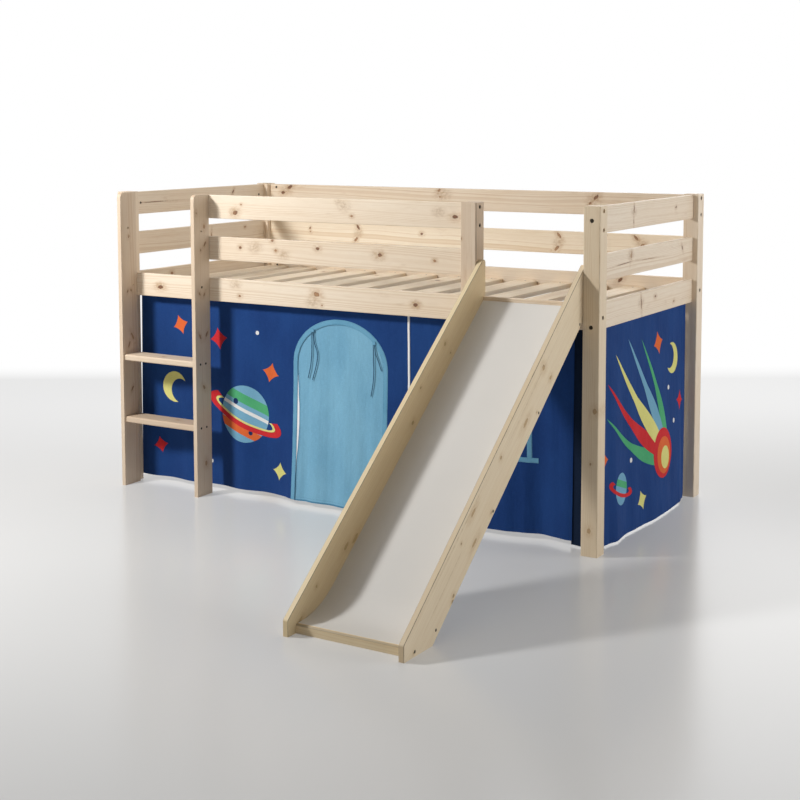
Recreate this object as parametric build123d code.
from build123d import *
from math import cos, pi, radians, sin, sqrt, tan
import os

# Loft bed with a ladder, a slide and play curtains, in millimetres. X runs along the bed
# from the left posts' outer faces, Y from the front posts' front faces to the back, and
# Z up from the floor. Every node is moved as it is written, so that the origin is on the
# floor under the middle of the whole object.

# Bed frame
bed_length = 2086.0
bed_width = 980.0
bed_height = 1170.0
post_size = 60.0
post_edge_radius = 4.0
board_thickness = 18.0
board_height = 90.0
board_edge_radius = 3.0
board_gap = 70.0
top_board_drop = 3.0
levels = ("lower", "middle", "upper")

# Slats and the battens that carry them
slat_count = 13
slat_width = 90.0
slat_thickness = 18.0
slat_edge_radius = 2.5
slat_drop = 47.0
slat_post_gap = 4.0
slat_side_gap = 1.0
batten_width = 25.0
batten_height = 20.0
batten_edge_radius = 2.0

# Ladder
ladder_width = 388.0
stile_thickness = 18.0
stile_depth = 90.0
stile_corner_radius = 20.0
stile_edge_radius = 2.0
step_thickness = 24.0
step_set_back = 8.0
step_nose_radius = 6.0
lower_step_share = 0.3294
upper_step_share = 0.6234
grip_hole_radius = 4.0
grip_hole_drop = 141.0
spare_hole_radius = 2.5
spare_hole_depth = 24.0
spare_hole_rise = 44.0

# Slide
slide_width = 400.0
slide_angle = 38.66
slide_hook_rise = 126.0
slide_toe_height = 48.0
slide_board_thickness = 18.0
slide_board_depth = 134.0
slide_shoulder_radius = 11.0
slide_toe_radius = 8.0
slide_edge_radius = 2.0
panel_thickness = 5.0
panel_drop = 109.3
panel_curve_radius = 280.0
panel_tail = 4.0
foot_bar_height = 28.0
foot_bar_depth = 36.0
foot_bar_lip = 9.0
foot_bar_radius = 7.0
cross_bar_width = 45.0
cross_bar_thickness = 18.0
cross_bar_count = 3
cross_bar_set_back = 50.0
cross_bar_pitch = 303.0
curve_bar_turn_share = 0.62
curve_bar_clearance = 0.3

# Bolts with barrel nuts, dowels and screws
bolt_radius = 3.0
bolt_head_radius = 6.5
bolt_head_height = 5.0
bolt_socket_width = 4.0
bolt_socket_depth = 3.0
bolt_tip = 9.0
bolt_clearance = 0.3
counterbore_depth = 7.0
counterbore_clearance = 0.7
nut_radius = 5.0
nut_length = 13.0
nut_set_back = 35.0
nut_clearance = 0.2
nut_skin = 3.0
side_bolt_height_share = 0.5
side_bolt_spread = 63.0
end_bolt_low_share = 0.15
ladder_bolt_rise = 57.0
ladder_nut_set_back = 48.0
dowel_radius = 4.0
dowel_length = 50.0
dowel_clearance = 0.1
dowel_spread = 45.0
screw_radius = 2.0
screw_head_radius = 4.5
screw_head_height = 3.0
screw_length = 50.0
screw_clearance = 0.2
step_screw_front = 27.0
step_screw_rear = 59.0
guard_screw_length = 60.0
guard_screw_spread = 45.0
foot_screw_length = 34.0

# Play curtains
cloth_thickness = 1.6
cloth_clearance = 0.3
curtain_top_drop = 2.0
curtain_post_gap = 2.0
curtain_hem = 20.0
curtain_seam_share = 0.6323
curtain_right_gap = 57.0
fold_hem_share = 0.085
left_fold_shares = (0.11, 0.17, 0.13, 0.20, 0.16, 0.23)
seam_left_fold_shares = (0.55, 0.45)
seam_right_fold_shares = (0.58, 0.42)
end_fold_shares = (0.26, 0.20, 0.54)
tape_height = 16.0
tape_thickness = 1.5
end_hem = 6.0
end_far_gap = 12.0
end_return = 92.0
end_corner_radius = 6.0
end_hem_share = 0.07
piping_width = 9.0
piping_thickness = 2.5
trim_thickness = 0.8

# Doorway, flap, window trim and ties
door_width = 420.0
door_centre_share = 0.489
door_rise = 175.0
door_top_gap = 63.0
door_binding_width = 20.0
door_flat_margin = 26.0
door_sewn_margin = 10.0
flap_drop = 12.0
flap_hinge_gap = 1.2
flap_hem = 26.0
flap_slit = 7.0
flap_lap = 10.0
flap_fold_share = 0.05
flap_width_shares = (0.32, 0.36, 0.32)
window_width = 276.0
window_centre_share = 0.7991
window_height = 300.0
window_top_gap = 209.0
window_band = 18.0
window_sill_reach = 22.0
window_flat_margin = 44.0
tab_width = 16.0
tab_height = 12.0
tab_thickness = 3.6
tie_radius = 1.5
tie_turn_share = 0.45

# Every cut runs this far past what it cuts.
overrun = 5.0


def board_bottom(level):
    """Height of the underside of a lower, middle or upper board."""
    steps_down = len(levels) - 1 - levels.index(level)
    return bed_height - top_board_drop - board_height - steps_down * (board_height + board_gap)


board_inset = (post_size - board_thickness) / 2
board_inner = board_inset + board_thickness
side_rail_bottom = board_bottom("lower")
side_rail_top = side_rail_bottom + board_height
slat_top = side_rail_top - slat_drop
slat_bottom = slat_top - slat_thickness
guard_post_left = bed_length - post_size - slide_width - post_size
guard_post_right = guard_post_left + post_size
ladder_right = post_size + ladder_width
stile_front = board_inset - stile_depth
step_tops = (lower_step_share * side_rail_top, upper_step_share * side_rail_top)
slide_left = guard_post_right
slide_right = slide_left + slide_width
slide_bay_left = slide_left + slide_board_thickness
slide_bay = slide_width - 2 * slide_board_thickness
slide_sin = sin(radians(slide_angle))
slide_cos = cos(radians(slide_angle))
slide_tan = tan(radians(slide_angle))
slide_top_height = side_rail_top + slide_hook_rise
slide_toe_y = board_inset - (slide_top_height - slide_toe_height) / slide_tan
cloth_front = board_inner + batten_width + tape_thickness
cloth_back = cloth_front + cloth_thickness
curtain_top = slat_bottom - curtain_top_drop
curtain_seam_x = curtain_seam_share * bed_length
door_cloth_front = cloth_back + cloth_clearance
door_centre_x = door_centre_share * bed_length
door_left = door_centre_x - door_width / 2
door_right = door_centre_x + door_width / 2
door_springing = curtain_top - door_top_gap - door_rise
flap_top = door_springing - flap_drop
window_centre_x = window_centre_share * bed_length
window_sill = curtain_top - window_top_gap - window_height
curtain_levels = (curtain_top, side_rail_bottom, curtain_hem)
centre_x = bed_length / 2
centre_y = (slide_toe_y + bed_width) / 2


def write(name, shape):
    """Write one node, moved so that the origin is under the middle of the object."""
    export_step(Pos(-centre_x, -centre_y, 0) * shape, f"parts/{name}.step")


def block(low, high):
    """A box between two corners."""
    size = [top - bottom for bottom, top in zip(low, high)]
    middle = [(top + bottom) / 2 for bottom, top in zip(low, high)]
    return Pos(*middle) * Box(*size)


def eased(solid, axis, radius):
    """Round the long edges that run along an axis."""
    return fillet(solid.edges().filter_by(axis), radius)


def rod(plane, radius, start, end):
    """A round bar along a plane's normal, from one depth to another."""
    return plane * Pos(0, 0, (start + end) / 2) * Cylinder(radius, end - start)


def stepped_rod(plane, head_radius, head_end, radius, end, head_start=0.0):
    """A head and a shank on one axis."""
    head = rod(plane, head_radius, head_start, head_end)
    return head + rod(plane, radius, head_end, end)


def across_bolt(plane, depth):
    """A plane on a bolt's axis, at a depth, that looks to the barrel nut's open side."""
    return Plane(origin=plane.origin + depth * plane.z_dir, z_dir=plane.x_dir)


# Where the frame's bolts go in: each plane stands on the outer face, its normal points
# into the wood, and its x direction points to the side where the barrel nut goes in.
def bolt_planes():
    """Planes of all the bolts that draw boards to posts."""
    middle = post_size / 2
    upper_middle = board_bottom("upper") + board_height / 2
    low = side_rail_bottom + side_bolt_height_share * board_height
    spread = side_bolt_spread / 2
    guard_heights = (upper_middle - spread, upper_middle + spread)
    planes = []
    for x, nut_side in ((middle, 1), (bed_length - middle, -1)):
        for z in (side_rail_bottom + end_bolt_low_share * board_height, upper_middle):
            for y, inward in ((0, 1), (bed_width, -1)):
                planes.append(Plane((x, y, z), x_dir=(nut_side, 0, 0), z_dir=(0, inward, 0)))
    for y, nut_side, heights in ((middle, 1, (low,)), (bed_width - middle, -1, (low, *guard_heights))):
        for z in heights:
            for x, inward in ((0, 1), (bed_length, -1)):
                planes.append(Plane((x, y, z), x_dir=(0, nut_side, 0), z_dir=(inward, 0, 0)))
    for z in guard_heights:
        planes.append(Plane((guard_post_right, middle, z), x_dir=(0, 1, 0), z_dir=(-1, 0, 0)))
    return planes


def spare_bolt_planes():
    """The front right post is drilled like the others, but the slide leaves these empty."""
    upper_middle = board_bottom("upper") + board_height / 2
    heights = (upper_middle - side_bolt_spread / 2, upper_middle + side_bolt_spread / 2)
    return [Plane((bed_length, post_size / 2, z), x_dir=(0, 1, 0), z_dir=(-1, 0, 0)) for z in heights]


def ladder_bolt_planes():
    """Bolts from inside the side rail into the back edges of the ladder's stiles."""
    centres = (post_size + stile_thickness / 2, ladder_right - stile_thickness / 2)
    sides = (-1, 1)
    height = side_rail_bottom + ladder_bolt_rise
    return [
        Plane((x, board_inner, height), x_dir=(side, 0, 0), z_dir=(0, -1, 0))
        for x, side in zip(centres, sides)
    ]


def bolt_hole(plane, end):
    """Counterbore and shank hole."""
    hole = bolt_radius + bolt_clearance
    seat = bolt_head_radius + counterbore_clearance
    return stepped_rod(plane, seat, counterbore_depth, hole, end, -overrun)


def bolt_cut(plane, nut_depth, half_wood):
    """A bolt's hole with the blind cross hole for its barrel nut."""
    across = across_bolt(plane, nut_depth)
    nut_hole = rod(across, nut_radius + nut_clearance, nut_skin - half_wood, half_wood + overrun)
    return bolt_hole(plane, nut_depth + bolt_tip + overrun) + nut_hole


def bolt(plane, nut_depth):
    """A socket-head bolt that ends just past its barrel nut."""
    head_start = counterbore_depth - bolt_head_height
    end = nut_depth + bolt_tip
    solid = stepped_rod(plane, bolt_head_radius, counterbore_depth, bolt_radius, end, head_start)
    socket = RegularPolygon(bolt_socket_width / 2, 6, major_radius=False)
    depth = bolt_socket_depth + overrun
    return solid - plane * Pos(0, 0, head_start - overrun) * extrude(socket, depth)


def barrel_nut(plane, nut_depth, half_wood):
    """A barrel nut with its cross hole for the bolt."""
    start = nut_skin - half_wood + nut_clearance
    across = across_bolt(plane, nut_depth)
    solid = rod(across, nut_radius, start, start + nut_length)
    hole = bolt_radius + bolt_clearance / 2
    return solid - rod(plane, hole, nut_depth - 2 * nut_radius, nut_depth + 2 * nut_radius)


# Dowels sit across the joint between a post and the end of a middle board.
def dowel_planes():
    """Planes on the joint faces, one for each dowel, with the normal along the board."""
    middle = post_size / 2
    centre_z = board_bottom("middle") + board_height / 2
    planes = []
    for z in (centre_z - dowel_spread / 2, centre_z + dowel_spread / 2):
        for x in (middle, bed_length - middle):
            planes.append(Plane((x, post_size, z), z_dir=(0, 1, 0)))
            planes.append(Plane((x, bed_width - post_size, z), z_dir=(0, 1, 0)))
        for x in (post_size, bed_length - post_size):
            planes.append(Plane((x, bed_width - middle, z), z_dir=(1, 0, 0)))
        planes.append(Plane((guard_post_left, middle, z), z_dir=(1, 0, 0)))
    return planes


def dowel(plane):
    """One dowel, half in the post and half in the board."""
    return rod(plane, dowel_radius, -dowel_length / 2, dowel_length / 2)


def dowel_cut(plane):
    """The two blind holes that a dowel sits in."""
    reach = dowel_length / 2 + dowel_radius / 2
    return rod(plane, dowel_radius + dowel_clearance, -reach, reach)


def screw(plane, length):
    """A flat-headed screw whose head lies flush with the wood."""
    return stepped_rod(plane, screw_head_radius, screw_head_height, screw_radius, length)


def screw_cut(plane, length):
    """The hole that a screw sits in."""
    head = screw_head_radius + screw_clearance
    hole = screw_radius + screw_clearance
    return stepped_rod(plane, head, screw_head_height, hole, length + overrun, -overrun)


def post(x, y, bottom):
    """A square post with rounded long edges and a softened top."""
    solid = block((x, y, bottom), (x + post_size, y + post_size, bed_height))
    solid = eased(solid, Axis.Z, post_edge_radius)
    return chamfer(solid.faces().sort_by(Axis.Z)[-1].edges(), post_edge_radius / 2)


def board_along_x(left, right, front, level):
    """A rail that runs along the bed."""
    bottom = board_bottom(level)
    solid = block((left, front, bottom), (right, front + board_thickness, bottom + board_height))
    return eased(solid, Axis.X, board_edge_radius)


def board_along_y(left, level):
    """A board across one end of the bed, between the posts."""
    bottom = board_bottom(level)
    low = (left, post_size, bottom)
    high = (left + board_thickness, bed_width - post_size, bottom + board_height)
    return eased(block(low, high), Axis.Y, board_edge_radius)


def write_frame():
    """Posts, boards, guard post and everything that holds them together."""
    main = bolt_planes()
    nut_depth = post_size + nut_set_back
    cuts = [bolt_cut(plane, nut_depth, board_thickness / 2) for plane in main]
    cuts += [dowel_cut(plane) for plane in dowel_planes()]
    cuts += guard_screw_cuts()
    spare = [bolt_hole(plane, post_size + overrun) for plane in spare_bolt_planes()]
    far_x, far_y = bed_length - post_size, bed_width - post_size
    write("post_front_left", post(0, 0, 0) - cuts)
    write("post_front_right", post(far_x, 0, 0) - cuts - spare)
    write("post_back_left", post(0, far_y, 0) - cuts)
    write("post_back_right", post(far_x, far_y, 0) - cuts)
    write("guard_post", guard_post() - cuts)
    for level in levels:
        write(f"end_board_left_{level}", board_along_y(board_inset, level) - cuts)
        right = board_along_y(bed_length - board_inner, level)
        write(f"end_board_right_{level}", right - cuts)
        back = board_along_x(post_size, far_x, bed_width - board_inner, level)
        write(f"back_board_{level}", back - cuts)
    rail = board_along_x(post_size, far_x, board_inset, "lower") - cuts
    write("side_rail_front", rail - [ladder_bolt_cut(plane) for plane in ladder_bolt_planes()])
    for level in levels[1:]:
        start = ladder_right - stile_thickness
        guard = board_along_x(start, guard_post_left, board_inset, level)
        write(f"guard_rail_{level}", guard - cuts)


def guard_post():
    """The short post beside the slide: its foot is halved to lap the side rail's front."""
    solid = post(guard_post_left, 0, side_rail_bottom)
    lap_low = (guard_post_left - overrun, board_inset, side_rail_bottom - overrun)
    lap_high = (guard_post_right + overrun, post_size + overrun, side_rail_top)
    return solid - block(lap_low, lap_high)


def rear_screw_planes(x, level):
    """Two screws, one above the other, from behind a front board into what stands before it."""
    middle = board_bottom(level) + board_height / 2
    heights = (middle - guard_screw_spread / 2, middle + guard_screw_spread / 2)
    return [Plane((x, board_inner, z), z_dir=(0, -1, 0)) for z in heights]


def guard_screw_planes():
    """Screws from behind the guard rails into the ladder's right stile."""
    x = ladder_right - stile_thickness / 2
    return rear_screw_planes(x, "middle") + rear_screw_planes(x, "upper")


def foot_screw_planes():
    """Screws from behind the side rail into the guard post's halved foot."""
    return rear_screw_planes(guard_post_left + post_size / 2, "lower")


def guard_screw_cuts():
    """Holes for the screws that hold the guard rails and the guard post."""
    cuts = [screw_cut(plane, guard_screw_length) for plane in guard_screw_planes()]
    return cuts + [screw_cut(plane, foot_screw_length) for plane in foot_screw_planes()]


def ladder_bolt_cut(plane):
    """A ladder bolt's counterbore in the rail, and its holes in the stile."""
    return bolt_cut(plane, board_thickness + ladder_nut_set_back, stile_thickness / 2)


def stile(left):
    """One side of the ladder, with its front top corner rounded."""
    corners = [
        (stile_front, 0),
        (board_inset, 0),
        (board_inset, bed_height),
        (stile_front, bed_height),
    ]
    radii = [0, 0, stile_edge_radius, stile_corner_radius]
    return eased(side_profile(corners, radii, left, stile_thickness), Axis.Z, stile_edge_radius)


def step_screw_planes():
    """Screws through the stiles' outer faces into the ends of the steps."""
    planes = []
    for top in step_tops:
        for set_back in (step_screw_front, step_screw_rear):
            y = stile_front + set_back
            z = top - step_thickness / 2
            planes.append(Plane((post_size, y, z), z_dir=(1, 0, 0)))
            planes.append(Plane((ladder_right, y, z), z_dir=(-1, 0, 0)))
    return planes


def step(top):
    """A ladder step between the stiles, with a rounded nose."""
    low = (post_size + stile_thickness, stile_front + step_set_back, top - step_thickness)
    high = (ladder_right - stile_thickness, board_inset, top)
    solid = block(low, high)
    nose = solid.edges().filter_by(Axis.X).group_by(Axis.Y)[0]
    return fillet(nose, step_nose_radius)


def write_ladder():
    """Stiles, steps and their fasteners."""
    screws = step_screw_planes()
    screw_cuts = [screw_cut(plane, screw_length) for plane in screws]
    bolts = ladder_bolt_planes()
    bolt_cuts = [ladder_bolt_cut(plane) for plane in bolts]
    nut_y = board_inset - ladder_nut_set_back
    right_left = ladder_right - stile_thickness
    for name, left in (("left", post_size), ("right", right_left)):
        middle = Plane((left - overrun, nut_y, bed_height - grip_hole_drop), z_dir=(1, 0, 0))
        grip = rod(middle, grip_hole_radius, 0, stile_thickness + 2 * overrun)
        spare_y = board_inset - spare_hole_depth
        spare_z = side_rail_bottom + spare_hole_rise
        spare_plane = Plane((left - overrun, spare_y, spare_z), z_dir=(1, 0, 0))
        spare = rod(spare_plane, spare_hole_radius, 0, stile_thickness + 2 * overrun)
        cuts = screw_cuts + bolt_cuts + guard_screw_cuts() + [grip, spare]
        write(f"ladder_stile_{name}", stile(left) - cuts)
    for name, top in zip(("lower", "upper"), step_tops):
        write(f"ladder_step_{name}", step(top) - screw_cuts)


def write_slats():
    """Battens inside the front and back boards, and the slats across them."""
    batten_bottom = slat_bottom - batten_height
    ends = (post_size, bed_length - post_size)
    for name, front in (("front", board_inner), ("back", bed_width - board_inner - batten_width)):
        low = (ends[0], front, batten_bottom)
        high = (ends[1], front + batten_width, slat_bottom)
        write(f"slat_batten_{name}", eased(block(low, high), Axis.X, batten_edge_radius))
    first = post_size + slat_post_gap
    last = bed_length - first - slat_width
    pitch = (last - first) / (slat_count - 1)
    for index in range(slat_count):
        left = first + index * pitch
        low = (left, board_inner + slat_side_gap, slat_bottom)
        high = (left + slat_width, bed_width - board_inner - slat_side_gap, slat_top)
        slat = eased(block(low, high), Axis.Y, slat_edge_radius)
        write(f"slat_{index + 1:02d}", slat)


def side_profile(points, radii, left, thickness):
    """An outline in Y and Z, made as thick as asked along X."""
    outline = make_face(FilletPolyline(points, radius=radii, close=True).edges())
    return Pos(left, 0, 0) * extrude(Plane.YZ * outline, thickness, dir=(1, 0, 0))


def slide_top_z(y):
    """Height of the slide boards' upper edge."""
    return slide_top_height + slide_tan * (y - board_inset)


def panel_z(y):
    """Height of the sliding surface on its straight stretch."""
    return slide_top_z(y) - panel_drop / slide_cos


def panel_curve_end():
    """Where the sliding surface turns level, as (y, z)."""
    tangent_z = foot_bar_height + panel_curve_radius * (1 - slide_cos)
    top_z = panel_z(board_inset)
    tangent_y = board_inset - (top_z - tangent_z) / slide_tan
    return tangent_y - panel_curve_radius * slide_sin, foot_bar_height


def slide_board(left):
    """One side of the slide: it hooks over the side rail and is cut level on the floor."""
    vertical_depth = slide_board_depth / slide_cos
    heel_y = board_inset - (slide_top_height - vertical_depth) / slide_tan
    corners = [
        (slide_toe_y, 0),
        (heel_y, 0),
        (board_inset, slide_top_height - vertical_depth),
        (board_inset, side_rail_top),
        (board_inner, side_rail_top),
        (board_inner, slide_top_height),
        (board_inset, slide_top_height),
        (slide_toe_y, slide_toe_height),
    ]
    shoulder = slide_shoulder_radius
    radii = [0, 0, 0, 0, 0, shoulder, shoulder, slide_toe_radius]
    board = side_profile(corners, radii, left, slide_board_thickness)
    return eased(board, Axis((0, 0, 0), (0, slide_cos, slide_sin)), slide_edge_radius)


def slide_panel():
    """The white sheet: a straight run, then a curve that ends level in the foot bar."""
    end_y, end_z = panel_curve_end()
    radius = panel_curve_radius
    centre = (end_y, end_z + radius)
    start = (end_y + radius * slide_sin, end_z + radius * (1 - slide_cos))
    below = (start[0] + panel_thickness * slide_sin, start[1] - panel_thickness * slide_cos)
    top = (board_inset, panel_z(board_inset))
    top_below = (board_inset, top[1] - panel_thickness / slide_cos)
    tail_y = end_y - panel_tail
    edges = [
        Line(top, start),
        CenterArc(centre, radius, -90, slide_angle),
        Line((end_y, end_z), (tail_y, end_z)),
        Line((tail_y, end_z), (tail_y, end_z - panel_thickness)),
        Line((tail_y, end_z - panel_thickness), (end_y, end_z - panel_thickness)),
        CenterArc(centre, radius + panel_thickness, -90, slide_angle),
        Line(below, top_below),
        Line(top_below, top),
    ]
    face = make_face(edges)
    return Pos(slide_bay_left, 0, 0) * extrude(Plane.YZ * face, slide_bay, dir=(1, 0, 0))


def foot_bar():
    """The bar that stands on the floor and carries the panel's lower end."""
    end_y, top = panel_curve_end()
    seat_y = end_y - panel_tail
    front = seat_y - foot_bar_lip
    rear = front + foot_bar_depth
    seat = top - panel_thickness
    corners = [(front, 0), (rear, 0), (rear, seat), (seat_y, seat), (seat_y, top), (front, top)]
    radii = [0, 0, 0, 0, 0, foot_bar_radius]
    return side_profile(corners, radii, slide_bay_left, slide_bay)


def cross_bar_frames():
    """Centre (y, z) and tilt of every bar under the panel."""
    frames = []
    reach = panel_thickness + cross_bar_thickness / 2
    for index in range(cross_bar_count):
        y = board_inset - cross_bar_set_back - index * cross_bar_pitch
        frames.append((y + reach * slide_sin, panel_z(y) - reach * slide_cos, slide_angle))
    end_y, end_z = panel_curve_end()
    turn = curve_bar_turn_share * slide_angle
    radius = panel_curve_radius + reach + curve_bar_clearance
    curve_y = end_y + radius * sin(radians(turn))
    curve_z = end_z + panel_curve_radius - radius * cos(radians(turn))
    return frames + [(curve_y, curve_z, turn)]


def slide_screw_planes():
    """Screws through the slide boards into the cross bars and the foot bar."""
    end_y, end_z = panel_curve_end()
    foot = (end_y - panel_tail - foot_bar_lip + foot_bar_depth / 2, end_z / 2)
    places = [(y, z) for y, z, _ in cross_bar_frames()] + [foot]
    planes = []
    for y, z in places:
        planes.append(Plane((slide_left, y, z), z_dir=(1, 0, 0)))
        planes.append(Plane((slide_right, y, z), z_dir=(-1, 0, 0)))
    return planes


def write_slide():
    """Boards, panel, bars and screws of the slide."""
    planes = slide_screw_planes()
    cuts = [screw_cut(plane, screw_length) for plane in planes]
    write("slide_board_left", slide_board(slide_left) - cuts)
    write("slide_board_right", slide_board(slide_right - slide_board_thickness) - cuts)
    write("slide_panel", slide_panel())
    write("slide_foot_bar", foot_bar() - cuts)
    bar = Box(slide_bay, cross_bar_width, cross_bar_thickness)
    middle = slide_bay_left + slide_bay / 2
    bars = [Pos(middle, y, z) * Rot(X=tilt) * bar - cuts for y, z, tilt in cross_bar_frames()]
    write("slide_cross_bars", Compound(children=bars))


def write_fasteners():
    """Bolts with their barrel nuts, dowels and wood screws, each kind in one node."""
    frame_depth = post_size + nut_set_back
    ladder_depth = board_thickness + ladder_nut_set_back
    bolts = [bolt(plane, frame_depth) for plane in bolt_planes()]
    bolts += [bolt(plane, ladder_depth) for plane in ladder_bolt_planes()]
    nuts = [barrel_nut(plane, frame_depth, board_thickness / 2) for plane in bolt_planes()]
    nuts += [barrel_nut(plane, ladder_depth, stile_thickness / 2) for plane in ladder_bolt_planes()]
    screws = [screw(plane, screw_length) for plane in step_screw_planes() + slide_screw_planes()]
    screws += [screw(plane, guard_screw_length) for plane in guard_screw_planes()]
    screws += [screw(plane, foot_screw_length) for plane in foot_screw_planes()]
    write("bolts", Compound(children=bolts))
    write("barrel_nuts", Compound(children=nuts))
    write("dowels", Compound(children=[dowel(plane) for plane in dowel_planes()]))
    write("wood_screws", Compound(children=screws))


def fold_edges(start, folds, share):
    """A wavy line along X. Each fold is (width, side): an arc to that side, or straight at 0."""
    edges = []
    x = start
    for width, side in folds:
        ends = (x, 0), (x + width, 0)
        if side * share:
            edges.append(ThreePointArc(ends[0], (x + width / 2, side * share * width), ends[1]))
        else:
            edges.append(Line(*ends))
        x += width
    return edges


def cloth_section(start, folds, share, height):
    """The closed outline of a curtain seen from above, at one height."""
    front = fold_edges(start, folds, share)
    back = [Pos(0, cloth_thickness, 0) * edge for edge in front]
    end = start + sum(width for width, _ in folds)
    caps = [Line((x, 0), (x, cloth_thickness)) for x in (start, end)]
    return Pos(0, 0, height) * make_face(front + back + caps)


def hanging_cloth(start, front, folds, levels_down, hem_share):
    """A curtain, straight between its top levels, that opens into folds at its hem."""
    shares = [0] * (len(levels_down) - 1) + [hem_share]
    sections = [cloth_section(start, folds, s, z) for s, z in zip(shares, levels_down)]
    return Pos(0, front, 0) * loft(sections, ruled=True)


def shared_folds(width, shares, first_side):
    """Folds of uneven width that fill a stretch, bulging to alternate sides."""
    return [(width * share, first_side * (-1) ** index) for index, share in enumerate(shares)]


def arch_face(width, rise, foot):
    """A doorway outline in X and Z: straight sides below a half ellipse."""
    half = Ellipse(width / 2, rise) & Pos(0, rise / 2) * Rectangle(width, rise)
    leg = door_springing - foot
    legs = Pos(0, -leg / 2) * Rectangle(width, leg)
    return Pos(door_centre_x, door_springing) * (half + legs)


def upright(face, front, thickness):
    """Stand a flat outline up in X and Z, and make it as thick as asked."""
    return Pos(0, front, 0) * extrude(Plane.XZ * face, thickness, dir=(0, 1, 0))


def front_left_curtain():
    """The panel with the arched doorway, flat round the door and folded beside it."""
    left = post_size + curtain_post_gap
    flat_left = door_left - door_flat_margin
    flat_right = door_right + door_flat_margin
    folds = shared_folds(flat_left - left, left_fold_shares, -1)
    folds.append((flat_right - flat_left, 0))
    folds += shared_folds(curtain_seam_x - flat_right, seam_left_fold_shares, -1)
    cloth = hanging_cloth(left, cloth_front, folds, curtain_levels, fold_hem_share)
    return cloth - doorway_cut(curtain_hem - overrun)


def doorway_cut(foot):
    """What the doorway takes out of the curtain."""
    inner = door_width - 2 * door_binding_width
    face = arch_face(inner, door_rise - door_binding_width, foot)
    return upright(face, cloth_front - overrun, cloth_thickness + 2 * overrun)


def front_right_curtain():
    """The panel beside the seam, flat behind the window trim."""
    right = bed_length - post_size - curtain_right_gap
    half_flat = window_width / 2 + window_flat_margin
    flat_left = window_centre_x - half_flat
    flat_right = window_centre_x + half_flat
    folds = shared_folds(flat_left - curtain_seam_x, seam_right_fold_shares, 1)
    folds.append((2 * half_flat, 0))
    folds.append((right - flat_right, -1))
    return hanging_cloth(curtain_seam_x, cloth_front, folds, curtain_levels, fold_hem_share)


def end_section(hem_share, height):
    """The end curtain from above: a return behind the front curtain, a corner, a long run."""
    outer_x = bed_length - board_inner - tape_thickness
    outer_y = cloth_back + cloth_clearance
    far_y = bed_width - post_size - end_far_gap
    start_x = outer_x - end_return
    outlines = []
    for inward in (0, cloth_thickness):
        x, y = outer_x - inward, outer_y + inward
        radius = end_corner_radius - inward
        corner = (outer_x - end_corner_radius, outer_y + end_corner_radius)
        edges = [Line((start_x, y), (corner[0], y)), CenterArc(corner, radius, -90, 90)]
        place = corner[1]
        run = far_y - place
        for share, side in zip(end_fold_shares, (1, -1, 1)):
            width = share * run
            bulge = (x + side * hem_share * width, place + width / 2)
            ends = (x, place), (x, place + width)
            edges.append(ThreePointArc(ends[0], bulge, ends[1]) if hem_share else Line(*ends))
            place += width
        outlines.append(edges)
    caps = [
        Line((start_x, outer_y), (start_x, outer_y + cloth_thickness)),
        Line((outer_x, far_y), (outer_x - cloth_thickness, far_y)),
    ]
    return Pos(0, 0, height) * make_face(outlines[0] + outlines[1] + caps)


def end_curtain():
    """The right end's curtain, which bulges out towards its hem."""
    straight = [end_section(0, curtain_top), end_section(0, side_rail_bottom)]
    return loft(straight + [end_section(end_hem_share, end_hem)], ruled=True)


def door_binding():
    """The light tape round the doorway, on the curtain's front."""
    outer = arch_face(door_width, door_rise, curtain_hem)
    inner_width = door_width - 2 * door_binding_width
    inner = arch_face(inner_width, door_rise - door_binding_width, curtain_hem - overrun)
    return upright(outer - inner, cloth_front - trim_thickness, trim_thickness)


def door_top():
    """The door cloth above the flap, sewn behind the arch."""
    width = door_width - 2 * (door_binding_width - door_sewn_margin)
    rise = door_rise - door_binding_width + door_sewn_margin
    face = arch_face(width, rise, flap_top + flap_hinge_gap)
    return upright(face, door_cloth_front, cloth_thickness)


def door_flap():
    """The free part of the door cloth, which swings inwards from its top edge."""
    left = door_left + door_binding_width + flap_slit
    right = door_right - door_binding_width + flap_lap
    folds = [((right - left) * s, side) for s, side in zip(flap_width_shares, (1, 0, 1))]
    return hanging_cloth(left, door_cloth_front, folds, (flap_top, flap_hem), flap_fold_share)


def window_trim():
    """A light cloth frame with a cross and a wider sill, sewn on the right curtain."""
    outer = Rectangle(window_width, window_height)
    inner = Rectangle(window_width - 2 * window_band, window_height - 2 * window_band)
    bars = Rectangle(window_band, window_height) + Rectangle(window_width, window_band)
    sill_width = window_width + 2 * window_sill_reach
    sill = Pos(0, (window_band - window_height) / 2) * Rectangle(sill_width, window_band)
    frame = Pos(window_centre_x, window_sill + window_height / 2) * (outer - inner + bars + sill)
    return upright(frame, cloth_front - trim_thickness, trim_thickness)


def piping():
    """The white piped seam between the two front curtains."""
    low = (curtain_seam_x - piping_width / 2, cloth_front - piping_thickness, curtain_hem)
    high = (curtain_seam_x + piping_width / 2, cloth_front, slat_bottom - batten_height)
    return eased(block(low, high), Axis.Z, piping_thickness / 3)


def tapes():
    """Hook-and-loop tape on the front batten and inside the right end board."""
    middle = slat_bottom - batten_height / 2
    low_z, high_z = middle - tape_height / 2, middle + tape_height / 2
    front_low = (post_size + curtain_post_gap, cloth_front - tape_thickness, low_z)
    front_high = (bed_length - post_size - curtain_post_gap, cloth_front, high_z)
    inner_x = bed_length - board_inner
    far_y = bed_width - post_size - end_far_gap
    end_low = (inner_x - tape_thickness, cloth_back + end_corner_radius, low_z)
    end_high = (inner_x, far_y, high_z)
    return Compound(children=[block(front_low, front_high), block(end_low, end_high)])


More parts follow.
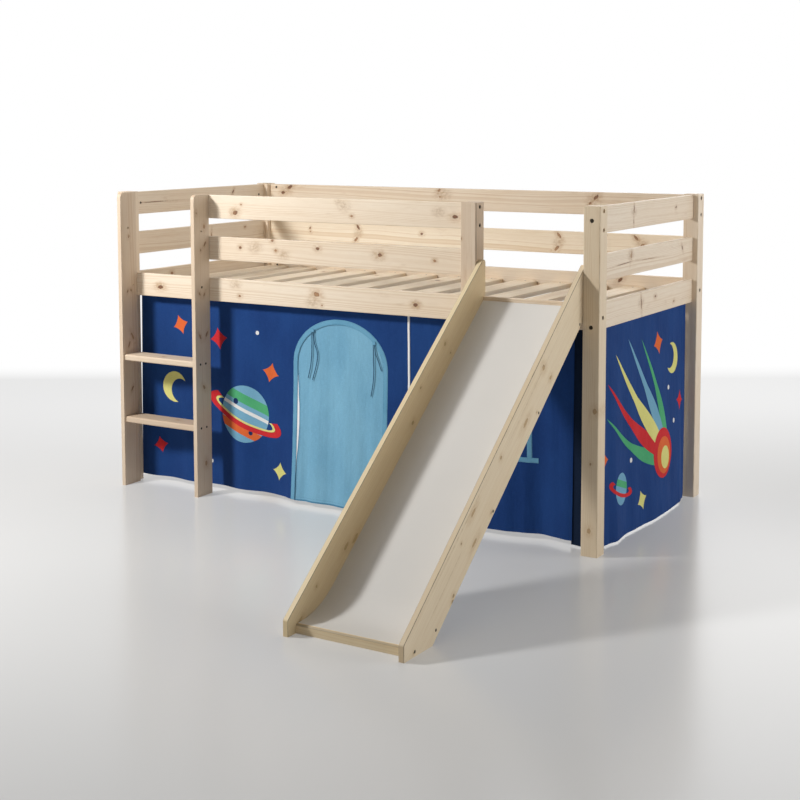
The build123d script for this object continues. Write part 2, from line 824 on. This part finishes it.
# The ties hang from small tabs sewn on the doorway's binding. Each route is a list of
# (across, out, down) offsets from the middle of the tab's lower face.
tie_routes = {
    "tie_left_long": [(3, 0, 0), (3, 0, 32), (24, 0.4, 77), (17, 0.2, 125), (-2, 0.5, 180)],
    "tie_left_short": [(-3, 0, 0), (-3, 0, 50), (-6, 0.3, 104), (-12, 0.1, 142), (-22, 0.4, 175)],
    "tie_right_long": [(-3, 0, 0), (-3, 0, 47), (-0.5, 0.3, 96), (-4, 0.1, 144), (-14, 0.4, 191)],
    "tie_right_short": [(3, 0, 0), (3, 0, 27), (19, 0.3, 59), (32, 0.1, 94)],
}
tab_place_shares = {"left": -0.571, "right": 0.724}


def tab_anchor(side):
    """The middle of a tab's lower face, on the binding's inner edge."""
    inner_rise = door_rise - door_binding_width
    half_inner = door_width / 2 - door_binding_width
    across = tab_place_shares[side] * door_width / 2
    z = door_springing + inner_rise * sqrt(1 - (across / half_inner) ** 2)
    return Vector(door_centre_x + across, cloth_front - trim_thickness - tab_thickness / 2, z)


def tie_tab(side):
    """A sewn tab that holds two cords."""
    anchor = tab_anchor(side)
    solid = Box(tab_width, tab_thickness, tab_height)
    return Pos(anchor.X, anchor.Y, anchor.Z + tab_height / 2) * solid


def tie(name):
    """One limp cord that hangs from its tab, as runs joined by tangent arcs."""
    anchor = tab_anchor(name.split("_")[1])
    points = [anchor + Vector(across, out, -down) for across, out, down in tie_routes[name]]
    runs = [end - start for start, end in zip(points, points[1:])]
    radii = []
    for before, after in zip(runs, runs[1:]):
        half_turn = radians(before.get_angle(after) / 2)
        radii.append(tie_turn_share * min(before.length, after.length) / tan(half_turn))
    path = FilletPolyline(points, radius=radii)
    start = Plane(points[0], z_dir=runs[0])
    solid = sweep(start * Circle(tie_radius), path=path)
    expected = pi * tie_radius**2 * path.length
    print(name, "length", round(path.length), "radii", [round(radius) for radius in radii])
    print(name, "volume over section times length", round(solid.volume / expected, 4))
    return solid


def write_curtains():
    """All the cloth, its trims, tapes and ties."""
    write("curtain_front_left", front_left_curtain())
    write("curtain_front_right", front_right_curtain())
    write("curtain_end", end_curtain())
    write("door_binding", door_binding())
    write("door_top", door_top())
    write("door_flap", door_flap())
    write("window_trim", window_trim())
    write("curtain_piping", piping())
    write("curtain_tapes", tapes())
    write("tie_tabs", Compound(children=[tie_tab(side) for side in tab_place_shares]))
    for name in tie_routes:
        write(name, tie(name))


os.makedirs("parts", exist_ok=True)
write_frame()
write_ladder()
write_slats()
write_slide()
write_fasteners()
write_curtains()
